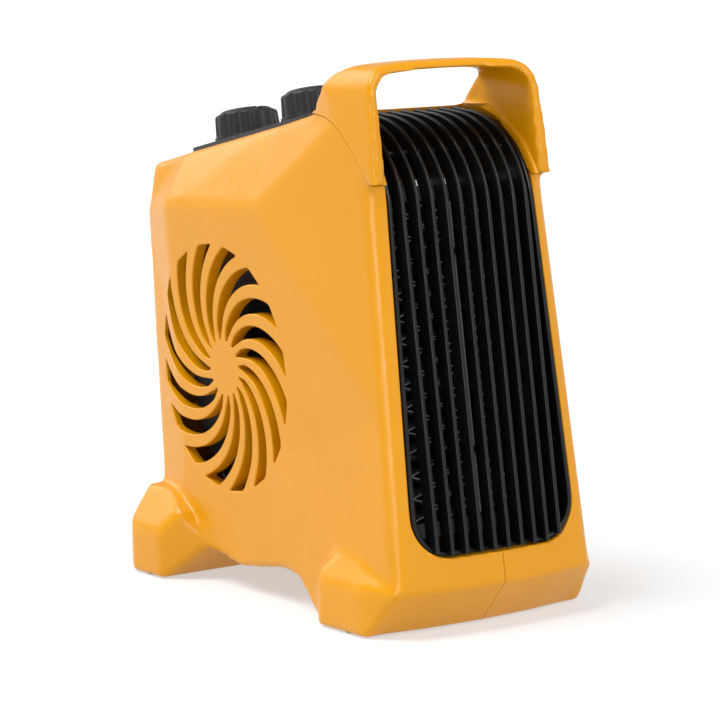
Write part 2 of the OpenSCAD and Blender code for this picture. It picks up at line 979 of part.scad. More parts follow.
module heater_insulators() {
    color("ivory")
        in_heater()
            for (x = [-pack_pitch, 0, pack_pitch])
                difference() {
                    union() {
                        block([x - 1.8, -7, fin_h / 2 + 1.5], [x + 1.8, 7, heater_half_h]);
                        block([x - 4, -7.6, heater_half_h], [x + 4, 7.6, heater_half_h + 3]);
                    }
                    block([x - 0.4, -5, 0], [x + 0.4, 5, 100]);
                }
}

module thermal_cutout() {
    color("tan")
        in_heater()
            difference() {
                union() {
                    translate([30, 0, heater_half_h])
                        cylinder(h = 6, r = 6);
                    for (x = [26.4, 33.6])
                        block([x - 0.4, -2.4, heater_half_h + 5.9], [x + 0.4, 2.4,
                            heater_half_h + 13]);
                }
                translate([30, 0, heater_half_h - 1])
                    cylinder(h = 3, r = 4.6);
            }
}

module thermal_fuse() {
    color("silver")
        in_heater()
            union() {
                rod_x(-38, -27, 0, heater_half_h + 2, 2);
                rod_x(-41, -24.4, 0, heater_half_h + 2, 0.6);
            }
}

// ---- wiring and safety ----------------------------------------------------

bush_z = 54;
bush_bore_r = 3.6;

module bush_hole(r) {
    rod_y(100, 140, 0, bush_z, r);
}

module cord_bush() {
    color("dimgray")
        difference() {
            union() {
                rod_y(112, 124, 0, bush_z, 6);
                rod_y(122.6, 125.4, 0, bush_z, 8.4);
                rod_y(114.6, 117.6, 0, bush_z, 8.4);
            }
            rod_y(100, 130, 0, bush_z, bush_bore_r);
        }
}

module cord_clamp() {
    color("ivory")
        difference() {
            union() {
                block([-14, 96, 46], [14, 106, 51.5]);
                block([-14, 98, 56.5], [14, 104, 60]);
                block([-14, 98, 3.3], [-9, 104, 47]);
                block([9, 98, 3.3], [14, 104, 47]);
                for (x = [-11, 11])
                    rod_z(x, 101, 51, 57, 2.6);
            }
            rod_y(90, 110, 0, bush_z, 3);
            for (x = [-11, 11])
                rod_z(x, 101, 40, 70, 1.3);
        }
}

module terminal_block() {
    color("ivory")
        difference() {
            block([-20, 54, 21], [20, 69, 35]);
            for (x = [-13, 0, 13]) {
                rod_z(x, 58, 27, 37, 2.2);
                rod_z(x, 65, 27, 37, 2.2);
                rod_y(50, 72, x, 26, 1.8);
            }
        }
}

module terminal_screws() {
    color("goldenrod")
        for (x = [-13, 0, 13], y = [58, 65])
            difference() {
                rod_z(x, y, 28, 33, 2.1);
                block([x - 3, y - 0.4, 32], [x + 3, y + 0.4, 34]);
            }
}

module tilt_switch() {
    color("darkslategray")
        difference() {
            block([-40, 96, 3.3], [-20, 112, 21]);
            rod_z(-30, 104, 12, 30, 5);
        }
}

// Bent wire, each run carried a little past its ends so that the runs join
module wire(path, r) {
    for (i = [0:len(path) - 2])
        let (d = path[i + 1] - path[i], h = norm(d))
        translate(path[i])
            rotate([0, acos(d[2] / h), atan2(d[1], d[0])])
                translate([0, 0, -0.3])
                    cylinder(h = h + 0.6, r = r, $fn = 8);
}

module wiring() {
    color("saddlebrown")
        for (k = [-1, 0, 1])
            wire([[13 * k, 66, 26], [13 * k, 82, 26], [24 + 6 * k, 90, 44],
                [26 + 8 * k, 116, 72], [26 + 8 * k, 116, 170], [8 * k, 82.4, 190.6]], 0.9);
}

left_shell();
right_shell();
handle();
handle_screws();
front_grille();
control_panel();
panel_screws();
mode_knob();
mode_pointer();
thermostat_knob();
thermostat_pointer();
selector_shaft();
thermostat_shaft();
selector_switch();
thermostat_body();
thermostat_contacts();
blower_scroll();
inlet_plate_left();
inlet_plate_right();
blower_wheel();
motor_shaft();
motor_can();
motor_stator();
motor_bearings();
motor_bracket();
motor_dampers();
motor_screws();
heater_frame();
heater_fins();
heater_tubes();
ceramic_stones();
heater_terminals();
heater_insulators();
thermal_cutout();
thermal_fuse();
tilt_switch();
terminal_block();
terminal_screws();
cord_clamp();
cord_bush();
shell_screws();
foot_pads();
wiring();
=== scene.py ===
# Looks of the ceramic space heater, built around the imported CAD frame.
# Lengths are in millimetres in the row frame until mesh_object() turns them into metres.
import json
import math

import bmesh
import bpy
import numpy as np
from mathutils import Matrix, Vector, kdtree
from mathutils.bvhtree import BVHTree


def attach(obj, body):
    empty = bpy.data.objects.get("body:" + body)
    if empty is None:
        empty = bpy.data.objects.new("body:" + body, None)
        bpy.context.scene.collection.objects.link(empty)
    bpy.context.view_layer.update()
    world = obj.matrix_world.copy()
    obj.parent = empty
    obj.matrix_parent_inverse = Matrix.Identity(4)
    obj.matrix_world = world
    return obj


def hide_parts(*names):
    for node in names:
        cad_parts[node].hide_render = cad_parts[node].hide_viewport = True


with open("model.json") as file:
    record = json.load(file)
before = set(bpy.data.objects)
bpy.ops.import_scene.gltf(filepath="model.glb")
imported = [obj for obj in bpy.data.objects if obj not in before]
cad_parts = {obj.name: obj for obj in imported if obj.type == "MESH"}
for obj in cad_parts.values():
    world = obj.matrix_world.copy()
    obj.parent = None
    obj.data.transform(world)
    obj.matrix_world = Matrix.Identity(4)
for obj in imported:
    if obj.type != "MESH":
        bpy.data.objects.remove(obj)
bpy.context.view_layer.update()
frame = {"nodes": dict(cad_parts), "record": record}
NODES = frame["nodes"]
SCENE = bpy.context.scene
MM = 0.001

# ---- sizes shared with the CAD part, in millimetres ---------------------------

TOTAL_H = 270.0
FRONT_HALF_W = 58.6
FRONT_EDGE_Y = -120.2
FRONT_LEAN = math.radians(7.0)
SIDE_LEAN = math.radians(2.1)
BOW = 6.4
CHIN_Z = 23.0
DECK_SLOPE = math.radians(10.0)
WALL = 2.4
FOOT_HALF_W = 64.6
SOLE = 0.8
CHIN_SETBACK = 20.3
CHIN_DRAW = 1.6
EDGE_R = 4.0
BACK_Y = 122.0
MID_Y = -3.0
REAR_Y = 88.0
SKIRT_Y = 126.6
REAR_EDGE_X = 42.5
REAR_EDGE_LEAN = 0.008
FLANK_X = 56.8
FLANK_Z = 199
FLANK_TURN = 0.03
FLANK_LEAN = 0.046
FLANK_FOOT_Z = 70
DECK_Y = -42.6
DECK_Z = 245.6
HUB_AT = (38.3, 115.3)
HUB_R = 14.8
INTAKE_AT = (42.0, 115.0)
INTAKE_R = 64.8
INTAKE_SQUASH = 0.98
SLOTS = 16
SLOT_SWEEP = 45.5
SLOT_PHASE = -7.0
SLOT_HALF_ANGLE = 6.1
SLOT_HUB_HALF_ANGLE = 2.2
SLOT_TAPER = 6
SLOT_CURL = 1.2
SLOT_CORNER = 1.6
SLOT_DEPTH = 25
KNOB_R = 18.0
KNOB_H = 16.0
KNOB_BASE = 5.0
FLUTES = 12
SELECTOR_Y = 88.0
THERMOSTAT_Y = 23.0
REACH = 80  # half length of a cutter that passes right through the body


def deck(y):
    """Height of the sloping deck at depth y."""
    return DECK_Z - (y - DECK_Y) * math.tan(DECK_SLOPE)


def front_y(z):
    """Depth of the front face's side edges at height z."""
    return FRONT_EDGE_Y + (z - CHIN_Z) * math.tan(FRONT_LEAN)


def front_x(z):
    """Half width of the front face at height z."""
    return FRONT_HALF_W - (z - CHIN_Z) * math.tan(SIDE_LEAN)


def flank_x(y, z):
    """Half width of the facet that holds the intake."""
    return FLANK_X - FLANK_TURN * (y - MID_Y) + FLANK_LEAN * (z - FLANK_Z)


# ---- mesh helpers ---------------------------------------------------------------


def link(name, mesh):
    obj = bpy.data.objects.new(name, mesh)
    SCENE.collection.objects.link(obj)
    return obj


def mesh_object(name, verts, faces):
    """A mesh in the scene from points in millimetres, with its normals outwards."""
    mesh = bpy.data.meshes.new(name)
    mesh.from_pydata([tuple(c * MM for c in v) for v in verts], [], faces)
    bm = bmesh.new()
    bm.from_mesh(mesh)
    bmesh.ops.recalc_face_normals(bm, faces=bm.faces)
    bm.to_mesh(mesh)
    bm.free()
    return link(name, mesh)


def remove(*objs):
    for o in objs:
        mesh = o.data
        bpy.data.objects.remove(o)
        if mesh.users == 0:
            bpy.data.meshes.remove(mesh)


def bake(obj):
    """Turns the object's modifiers into its mesh."""
    dg = bpy.context.evaluated_depsgraph_get()
    dg.update()
    mesh = bpy.data.meshes.new_from_object(obj.evaluated_get(dg))
    obj.modifiers.clear()
    old = obj.data
    obj.data = mesh
    if old.users == 0:
        bpy.data.meshes.remove(old)
    return obj


def boolean(obj, other, operation="DIFFERENCE"):
    """Combines obj with other, and removes other."""
    m = obj.modifiers.new("cut", "BOOLEAN")
    m.object = other
    m.operation = operation
    m.solver = "EXACT"
    bake(obj)
    remove(other)
    return obj


def prism(axis, pts, lo, hi, name="prism"):
    """A polygon drawn out along x, y or z. Its points are (y, z), (x, z) or (x, y)."""
    put = {"x": lambda p, t: (t, p[0], p[1]), "y": lambda p, t: (p[0], t, p[1]),
           "z": lambda p, t: (p[0], p[1], t)}[axis]
    n = len(pts)
    verts = [put(p, lo) for p in pts] + [put(p, hi) for p in pts]
    faces = [list(range(n)), list(range(2 * n - 1, n - 1, -1))]
    faces += [[i, (i + 1) % n, n + (i + 1) % n, n + i] for i in range(n)]
    return mesh_object(name, verts, faces)


def circle(cx, cy, r, n=48):
    return [(cx + r * math.cos(2 * math.pi * i / n), cy + r * math.sin(2 * math.pi * i / n))
            for i in range(n)]


def join(objs, name):
    """One object from several, which are removed."""
    bm = bmesh.new()
    for o in objs:
        bm.from_mesh(o.data)
    mesh = bpy.data.meshes.new(name)
    bm.to_mesh(mesh)
    bm.free()
    remove(*objs)
    return link(name, mesh)


def mirrored(obj, name):
    """A copy on the other side of the middle plane."""
    mesh = obj.data.copy()
    mesh.transform(Matrix.Diagonal((-1, 1, 1, 1)))
    mesh.flip_normals()
    return link(name, mesh)


SLIVER = 0.04 * MM


def thin(face):
    """True for a face so narrow that its normal can't be trusted."""
    longest = max(e.calc_length() for e in face.edges)
    return face.calc_area() < SLIVER * longest


def smooth_shade(obj, angle=32.0):
    """Smooth shading with sharp edges where two sound faces meet above the angle."""
    mesh = obj.data
    bm = bmesh.new()
    bm.from_mesh(mesh)
    limit = math.radians(angle)
    weak = {f for f in bm.faces if thin(f)}
    for f in bm.faces:
        f.smooth = True
    for e in bm.edges:
        sound = len(e.link_faces) == 2 and not weak.intersection(e.link_faces)
        e.smooth = not (sound and e.calc_face_angle(0) > limit)
    bm.to_mesh(mesh)
    bm.free()
    w = obj.modifiers.new("normals", "WEIGHTED_NORMAL")
    w.keep_sharp = True
    w.weight = 80
    return obj


# ---- body outline -----------------------------------------------------------------


def bow_points(w):
    """Half of the bowed front in plan: (x, depth) from the middle round the side edge."""
    return [(0, -BOW), (0.55 * w, -0.7 * BOW), (w - EDGE_R, -0.13 * BOW), (w, EDGE_R)]


def nose(z, y, w, t):
    """Front part of a row: its side edge at depth y and half width w, drawn in by t."""
    inset = [(0, t), (0, t), (t / 2, t), (t, t / 2)]
    return [(-x + dx, y + d + dy, z) for (x, d), (dx, dy) in zip(bow_points(w), inset)]


def tail(xm, zm, xr, zr, xb, zb, yb, t):
    """Rear part of a row: half width and height at MID_Y, at REAR_Y and on the back at yb."""
    return [(-xm + t, MID_Y, zm), (-xr + t, REAR_Y, zr), (-xb + t / 2, yb - t, zb), (0, yb - t, zb)]


def low_row(z, y, w, t, draw):
    """A row in the straight skirt between the feet."""
    return nose(z, y, w, draw) + tail(51, z, 48, z, 42, z, BACK_Y - 1, t)


def flank_row(z, xb, yb, t):
    """A row across the facet with the intake."""
    return (nose(z, front_y(z), front_x(z), t)
            + tail(flank_x(MID_Y, z), z, flank_x(REAR_Y, z), z, xb, z, yb, t))


def body_rows(t):
    """Half outlines of the body from the soles up to the deck, drawn in by t."""
    top = [(0, -99), (-27, -98), (-46.5, -94.5), (-50, -88), (-41, MID_Y), (-40.5, REAR_Y),
           (-39, BACK_Y + 2), (0, BACK_Y + 2)]
    return [
        low_row(SOLE + t, FRONT_EDGE_Y + CHIN_SETBACK, FRONT_HALF_W - CHIN_DRAW, t, t * 1.3),
        low_row(CHIN_Z, FRONT_EDGE_Y, FRONT_HALF_W, t, t),
        flank_row(FLANK_FOOT_Z, REAR_EDGE_X, BACK_Y - 0.5, t),
        flank_row(105, 43, BACK_Y, t),
        nose(200, front_y(200), front_x(200), t)
        + tail(FLANK_X, FLANK_Z, 54, 197, 43.5, 192, BACK_Y + 2, t),
        [(min(x + t, 0), y + (t if y < -90 else -t if y > 100 else 0), deck(y) - t * 1.02)
         for x, y in top],
    ]


SPLIT = [0, 0, 1, 0, 1]  # which diagonal divides the facets above each row


def body_solid(t, name):
    """The whole body, both halves, as one closed solid drawn in by t."""
    rows = body_rows(t)
    last = len(rows[0]) - 1
    n = 2 * last
    verts, faces = [], []
    for r in rows:
        verts += r + [(-p[0], p[1], p[2]) for p in r[last - 1:0:-1]]

    def right(i):
        return i if i in (0, last) else n - i

    for j in range(len(rows) - 1):
        for i in range(last):
            for side in (lambda k: k, right):
                a, b = j * n + side(i), j * n + side(i + 1)
                c, d = b + n, a + n
                pair = [(a, b, c), (a, c, d)] if SPLIT[j] == 0 else [(a, b, d), (b, c, d)]
                faces += pair if side(1) == 1 else [f[::-1] for f in pair]
    faces += [list(range(n))[::-1], list(range((len(rows) - 1) * n, len(rows) * n))]
    return mesh_object(name, verts, faces)


ARCH = [(-48, -2), (-24, 17.4), (-14, 18.4), (-4, 18.4), (14, 15.6), (33, 13.6), (57, 17.2),
        (67, 18.4), (92, -2)]


def arch(g):
    """The cut under the body between the feet, grown by g."""
    pts = []
    for i, (y, z) in enumerate(ARCH):
        end = -1 if i < 2 else 1 if i > len(ARCH) - 3 else 0
        pts.append((y + end * g, z + g if z > 0 else z))
    return prism("x", pts, -REACH, REACH)


def front_foot():
    """Left front foot: a plan, cut by its outline from the front and by its outline from the
    side."""
    foot = prism("z", [(-40, -124), (-FRONT_HALF_W, FRONT_EDGE_Y), (-FOOT_HALF_W, -97),
                       (-FOOT_HALF_W, -62), (-50, -39), (-40, -39)], SOLE, 60)
    boolean(foot, prism("y", [(-40, -5), (-FOOT_HALF_W, -5), (-FOOT_HALF_W, 22.5), (-55, 39.5),
                              (-40, 42)], -130, 0), "INTERSECT")
    return boolean(foot, prism("x", [
        (FRONT_EDGE_Y + 21, -1), (FRONT_EDGE_Y, CHIN_Z), (-108, 26), (-98, 29), (-91, 34),
        (-84, 37.5), (-76, 38.6), (-68, 36.4), (-60, 30), (-53, 21), (-46, 10), (-39, -1)],
        -REACH, 0), "INTERSECT")


def rear_foot(t, cx):
    """Left rear foot, drawn in by t, from the outside to cx. Made like the front one."""
    w = FOOT_HALF_W - t
    foot = prism("z", [(cx, 66 + t), (-48, 66 + t), (-w, 90 + t), (-w, SKIRT_Y - 9 - t / 2),
                       (-60 + t, SKIRT_Y - t), (cx, SKIRT_Y - t)], SOLE + t, 46)
    boolean(foot, prism("y", [(cx, -5), (-w, -5), (-w, 25 - t), (-52, 46 - t), (cx, 46 - t)],
                        0, 130), "INTERSECT")
    return boolean(foot, prism("x", [
        (60 + t, -1), (SKIRT_Y - 1.9 - t, -1), (SKIRT_Y - t, 8), (SKIRT_Y - 1.4 - t, 20),
        (BACK_Y - 1 - t, 46 - t / 2), (104, 46 - t), (97, 45 - t), (88, 41.6 - t), (79, 35.8 - t),
        (72, 28 - t), (66 + t, 18 - t), (60 + t, 8)], -REACH, cx), "INTERSECT")


# ---- handle outline -------------------------------------------------------------

HANDLE_SEAM = [(-97.2, 213), (-91, 220.3), (-82.8, 229.4), (-74.8, 237.5), (-68.8, 241.3),
               (-59.8, 244.1), (-51.9, 244.9), (-43, 245.6)]
HANDLE_SIDE = HANDLE_SEAM + [
    (-49.7, 253.2), (-55.1, 259), (-60.4, 263.7), (-66, 266.8), (-72, 269), (-78, 270),
    (-86, 270), (-92, 269), (-95, 266), (-96.8, 260), (-99, 245), (-103, 213)]
GRIP_HALF_W = 44.8
CROWN = TOTAL_H - 4.4  # top of the hand opening


def both_sides(pts):
    """A polygon's left half, from its outer end to the middle, and then its mirror image."""
    return pts + [(-x, z) for x, z in reversed(pts) if x != 0]


def handle_block():
    """The handle's solid outline: from the side, from the front and from above."""
    solid = prism("x", HANDLE_SIDE, -60, 60, "handle_block")
    corner = [(-34.8 - 15 * math.cos(math.radians(a)), 254 + 14.6 * math.sin(math.radians(a)))
              for a in range(0, 76, 5)]
    outline = [(-52.4, 205), (-50.6, 245)] + corner + [
        (-34, TOTAL_H - 1.3), (-18, TOTAL_H - 0.3), (0, TOTAL_H)]
    boolean(solid, prism("y", both_sides(outline), -110, 0), "INTERSECT")
    plan = [(-54, -110), (-51.8, -75), (-50, -63), (-46.8, -48), (-46.2, -36)]
    return boolean(solid, prism("z", both_sides(plan), 200, 290), "INTERSECT")


def handle_room(drop, reach=REACH):
    """All that lies above the seam between the handle and the shells, lowered by drop."""
    pts = [(-130, 213 - drop)] + [(y, z - drop) for y, z in HANDLE_SEAM]
    return prism("x", pts + [(-42, 290), (-130, 290)], -reach, reach)


def grip_hole():
    """The hand opening."""
    corner = [(-GRIP_HALF_W + 11 - 11 * math.cos(math.radians(a)),
               CROWN - 12 + 10.6 * math.sin(math.radians(a))) for a in range(0, 76, 5)]
    front = [(-GRIP_HALF_W, 190)] + corner + [(-20, CROWN - 0.3), (0, CROWN)]
    hole = prism("y", both_sides(front), -130, 0, "grip_hole")
    plan = [(-GRIP_HALF_W - 1, -125), (-GRIP_HALF_W, -92), (-GRIP_HALF_W + 3, -46),
            (-GRIP_HALF_W + 3, -20)]
    boolean(hole, prism("z", both_sides(plan), 180, 290), "INTERSECT")
    return boolean(hole, handle_room(0, 60), "INTERSECT")


# ---- moulded skin ----------------------------------------------------------------


FLAT_ANGLE = math.radians(0.2)    # cage faces closer than this are one flat
EDGE_ANGLE = math.radians(2.2)    # cage edges sharper than this are rounded
MERGE_ANGLE = math.radians(0.06)  # skin faces closer than this are merged
MARK_STEP = 0.0005                # metres between marks along a cage edge
SMOOTH_RATE = 0.6
ROUND_REACH = (1.7, 3.2)          # in blur widths: where the rounding fades into the flats


def feature_edges(bm, angle):
    """Ends of the edges that bend by more than the angle."""
    out = []
    for e in bm.edges:
        if len(e.link_faces) == 2 and e.calc_face_angle(0) > angle:
            out.append((e.verts[0].co.copy(), e.verts[1].co.copy()))
    return out


def ramp(v, lo, hi):
    """Smooth step of an array from 0 at lo to 1 at hi."""
    t = np.clip((v - lo) / (hi - lo), 0, 1)
    return t * t * (3 - 2 * t)


def moulded(cage, voxel, first, second, soft):
    """Rounds a faceted solid: remeshes it, smooths it, and puts the flats back exactly on the
    solid's own faces. first and second count the smoothing steps, and soft gives how much of
    the second, wider smoothing acts at each point, in millimetres."""
    bm = bmesh.new()
    bm.from_mesh(cage.data)
    bmesh.ops.dissolve_limit(bm, angle_limit=FLAT_ANGLE, verts=bm.verts, edges=bm.edges)
    tree = BVHTree.FromBMesh(bm)
    marks = feature_edges(bm, EDGE_ANGLE)
    bm.free()
    points = []
    for a, b in marks:
        steps = max(1, int((b - a).length / MARK_STEP))
        points += [a.lerp(b, k / steps) for k in range(steps + 1)]
    near = kdtree.KDTree(len(points))
    for i, p in enumerate(points):
        near.insert(p, i)
    near.balance()

    m = cage.modifiers.new("voxels", "REMESH")
    m.mode = "VOXEL"
    m.voxel_size = voxel * MM
    m.adaptivity = 0
    bake(cage)
    mesh = cage.data
    n = len(mesh.vertices)
    co = np.empty(n * 3, np.float64)
    mesh.vertices.foreach_get("co", co)
    co = co.reshape(-1, 3)
    edges = np.empty(len(mesh.edges) * 2, np.int64)
    mesh.edges.foreach_get("vertices", edges)
    a, b = edges[0::2], edges[1::2]
    count = np.bincount(a, minlength=n) + np.bincount(b, minlength=n)
    spread = soft(co * 1000)
    for k in range(first + second):
        mean = np.empty_like(co)
        for i in range(3):
            mean[:, i] = (np.bincount(a, co[b, i], n) + np.bincount(b, co[a, i], n)) / count
        weight = SMOOTH_RATE if k < first else SMOOTH_RATE * spread[:, None]
        co = co + (mean - co) * weight
    sigma = voxel * MM * np.sqrt(SMOOTH_RATE / 2 * (first + second * spread))
    gap = np.empty(n)
    flat = np.empty_like(co)
    for i in range(n):
        p = Vector(co[i])
        gap[i] = near.find(p)[2]
        flat[i] = tree.find_nearest(p)[0]
    keep = ramp(gap / sigma, *ROUND_REACH)[:, None]
    co = co * (1 - keep) + flat * keep
    mesh.vertices.foreach_set("co", co.ravel())
    mesh.update()
    bm = bmesh.new()
    bm.from_mesh(mesh)
    bmesh.ops.dissolve_limit(bm, angle_limit=MERGE_ANGLE, verts=bm.verts, edges=bm.edges)
    bmesh.ops.triangulate(bm, faces=[f for f in bm.faces if len(f.verts) > 4])
    bm.to_mesh(mesh)
    bm.free()
    return cage


def body_skin():
    """The outside of the heater, shells and handle in one."""
    skin = body_solid(0, "body_skin")
    for foot in (front_foot(), rear_foot(0, 0.2)):
        twin = mirrored(foot, "twin")
        boolean(skin, foot, "UNION")
        boolean(skin, twin, "UNION")
    boolean(skin, arch(0))
    boolean(skin, handle_block(), "UNION")
    boolean(skin, grip_hole())

    def soft(p):
        """Wide rounding on the flanks, less on the feet and the front edges, and none on the
        handle."""
        feet = 0.42 * ramp(p[:, 2], 7, 17) * ramp(abs(p[:, 0]), 48, 54)
        low = np.maximum(feet, 0.5 * ramp(p[:, 2], 34, 62) + 0.25 * ramp(p[:, 2], 186, 200))
        nose_edge = ramp(abs(p[:, 0]), 48, 52) * ramp(-p[:, 1], 84, 92)
        low = low * (1 - 0.85 * nose_edge * ramp(p[:, 2], 34, 62))
        grip = ramp(p[:, 2], 243, 250) * ramp(-p[:, 1], 38, 46)
        legs = ramp(p[:, 2], 205, 222) * ramp(-p[:, 1], 62, 80)
        return low * (1 - np.maximum(grip, legs))

    return moulded(skin, 1.3, 4, 24, soft)


skin = body_skin()

# ---- openings in the skin ----------------------------------------------------------


def loft(name, rings):
    """A closed solid through rings of equal length."""
    n = len(rings[0])
    verts = [p for r in rings for p in r]
    faces = [list(range(n))[::-1], [(len(rings) - 1) * n + i for i in range(n)]]
    for j in range(len(rings) - 1):
        for i in range(n):
            k = (i + 1) % n
            faces.append([j * n + i, j * n + k, (j + 1) * n + k, (j + 1) * n + i])
    return mesh_object(name, verts, faces)


MITRE_LIMIT = 0.35


def grown(pts, g):
    """A closed polygon with its sides moved outwards by g. Its points run anticlockwise."""
    out = []
    n = len(pts)
    for i in range(n):
        (x0, y0), (x1, y1), (x2, y2) = pts[i - 1], pts[i], pts[(i + 1) % n]
        a = Vector((y1 - y0, x0 - x1)).normalized()
        b = Vector((y2 - y1, x1 - x2)).normalized()
        m = (a + b) / max(MITRE_LIMIT, 1 + a.dot(b))
        out.append((x1 + g * m.x, y1 + g * m.y))
    return out


def anticlockwise(pts):
    """The same polygon, turned round if it ran clockwise."""
    area = sum(pts[i - 1][0] * pts[i][1] - pts[i][0] * pts[i - 1][1] for i in range(len(pts)))
    return pts if area > 0 else pts[::-1]


def side_x(y, z):
    """Half width of the body at depth y, on the facet with the intake and the one behind it."""
    z = max(z, FLANK_FOOT_Z)
    if y <= REAR_Y:
        return flank_x(y, z)
    rear = REAR_EDGE_X + REAR_EDGE_LEAN * (z - FLANK_FOOT_Z)
    edge = flank_x(REAR_Y, z)
    return edge + (rear - edge) * (y - REAR_Y) / (BACK_Y - REAR_Y)


def slot_edge(a0, side):
    """One long edge of a curved slot, from the hub to its rounded corner at the rim."""
    out = []
    steps = 24
    bend = 1 - SLOT_CORNER / (INTAKE_R - HUB_R)
    for t in [bend * i / steps for i in range(steps)] + [
            bend + (1 - bend) * u for u in (0, 0.35, 0.6, 0.8, 0.93, 1)]:
        r = HUB_R + (INTAKE_R - HUB_R) * t
        half = SLOT_HUB_HALF_ANGLE + (SLOT_HALF_ANGLE - SLOT_HUB_HALF_ANGLE) * min(
            1, (r - HUB_R) / SLOT_TAPER)
        u = max(0, (t - bend) / (1 - bend))
        half -= math.degrees(SLOT_CORNER * (1 - math.sqrt(max(0, 1 - u * u))) / r)
        a = math.radians(a0 + SLOT_SWEEP * t ** SLOT_CURL + side * half)
        y = HUB_AT[0] + (INTAKE_AT[0] - HUB_AT[0]) * t
        z = HUB_AT[1] + (INTAKE_AT[1] - HUB_AT[1]) * t
        out.append((y - r * math.sin(a), z + INTAKE_SQUASH * r * math.cos(a)))
    return out


def lip_levels(lip, start=0.0):
    """(depth, growth) of the rings that round a cutter's mouth with radius lip."""
    return [(lip * (1 - math.sin(math.radians(a))), start + lip * (1 - math.cos(math.radians(a))))
            for a in (0, 25, 50, 75)]


def slot_cutters():
    """The curved slots of both sides, with a rounded lip where they meet the skin."""
    lip = 0.7
    mouth = lip + 0.1
    levels = [(SLOT_DEPTH, 0)] + lip_levels(lip) + [(-0.2, mouth), (-4, mouth)]
    cutters = []
    for k in range(SLOTS):
        a0 = SLOT_PHASE + k * 360 / SLOTS
        outline = anticlockwise(slot_edge(a0, -1) + slot_edge(a0, 1)[::-1])
        rings = []
        for depth, g in levels:
            rings.append([(-side_x(y, z) + depth, y, z) for y, z in grown(outline, g)])
        cutters.append(loft("slot", rings))
    left = join(cutters, "slots")
    right = mirrored(left, "slots_right")
    return join([left, right], "slots_both")


def face_y(x, z):
    """Depth of the bowed front face."""
    w = front_x(z)
    pts = bow_points(w)
    x = min(abs(x), w)
    for (x0, y0), (x1, y1) in zip(pts, pts[1:]):
        if x <= x1:
            return front_y(z) + y0 + (y1 - y0) * (x - x0) / (x1 - x0)
    return front_y(z)


OPENING_SIDE = [(205, 42.6), (90, 46.5), (62, 47.4)]  # (height, half width), downwards
OPENING_BOTTOM = [(x, 37.8) for x in (-18, -9, 0)]
CORNER_AT = (-27.4, 57.8)
CORNER_R = 20.0


def grille_corner(g, angles):
    """The opening's rounded lower left corner, grown by g, from its side to the bottom."""
    return [(CORNER_AT[0] - (CORNER_R + g) * math.cos(math.radians(a)),
             CORNER_AT[1] - (CORNER_R + g) * math.sin(math.radians(a))) for a in angles]


def grille_bottom(x):
    """Lowest point of the opening at half width x."""
    side = max(0, abs(x) + CORNER_AT[0])
    return CORNER_AT[1] - math.sqrt(CORNER_R ** 2 - side ** 2)


def grille_outline(g):
    """The opening's whole outline, grown by g and carried up past the top of the body."""
    top = 275
    left = [(-x - g, z) for z, x in [(top, OPENING_SIDE[0][1])] + OPENING_SIDE]
    corner = grille_corner(g, range(0, 91, 6))
    bottom = [(x, z - g) for x, z in OPENING_BOTTOM]
    return anticlockwise(both_sides(left + corner + bottom))


def grille_cutter():
    """The grille's opening, with a rounded lip, from in front of the body to below the deck."""
    gap, mouth, back = 0.4, 1.6, -44.0
    levels = lip_levels(0.8, gap) + [(-1.0, mouth), (-30, mouth)]
    rings = [[(x, back, z) for x, z in grille_outline(gap)]]
    for depth, g in levels:
        rings.append([(x, face_y(x, z) + depth, z) for x, z in grille_outline(g)])
    return loft("grille_cut", rings)


BOSSES = [(-96, 30), (-30, 28), (44, 27), (110, 84), (108, 200), (-26, 226)]  # (y, z)


def cavity():
    """The inside of the shells, with a thinner disc at the intake and room for the bosses."""
    hollow = body_solid(WALL, "cavity")
    foot = rear_foot(WALL, 0.2)
    twin = mirrored(foot, "twin")
    boolean(hollow, foot, "UNION")
    boolean(hollow, twin, "UNION")
    boolean(hollow, arch(WALL))
    disc = prism("x", circle(*INTAKE_AT, INTAKE_R + 3, 64), -58, -40)
    boolean(disc, prism("y", [(-60, 20), (-60, 200), (-49.4, 200), (-40.4, 20)], -60, 116),
            "INTERSECT")
    other = mirrored(disc, "disc_right")
    boolean(hollow, join([disc, other], "discs"))
    boolean(hollow, join([prism("x", circle(y, z, 4, 32), -60, 60) for y, z in BOSSES], "bosses"))
    return hollow


def tube_cut(y, z, r0, r1, step, end):
    """A stepped round hole along x that starts at the middle."""
    return loft("hole", [[(x, a, b) for a, b in circle(y, z, r, 40)]
                         for x, r in ((-1, r0), (step, r0), (step + 0.01, r1), (end, r1))])


def small_cutters():
    """Screw holes from the right, the cord bush's hole in the back and the foot pads' seats."""
    round_hole = 6.1
    holes = [tube_cut(y, z, 1.8, 3.2, 14, REACH) for y, z in BOSSES]
    holes.append(prism("y", circle(0, 54, round_hole, 40), 100, 140))
    holes += [prism("z", circle(x, y, round_hole, 40), -1, 1.6)
              for x in (-56, 56) for y in (-82, 106)]
    return join(holes, "holes")


# ---- side curve of the grille ----------------------------------------------------


RIB_FOOT = (-121.4, 34.0)
TURN_AT = (-53.3, 194.2)
TURN_R = 48
DECK_END = (-44, 243.4)
RIB_BOW = 3.2
GRILLE_HALF_W = 45


def on_bend(angle):
    """Point and inward normal of the bend from the front to the deck, at an angle in degrees."""
    c, s = math.cos(math.radians(angle)), math.sin(math.radians(angle))
    return Vector((TURN_AT[0] - TURN_R * c, TURN_AT[1] - TURN_R * s)), Vector((c, s))


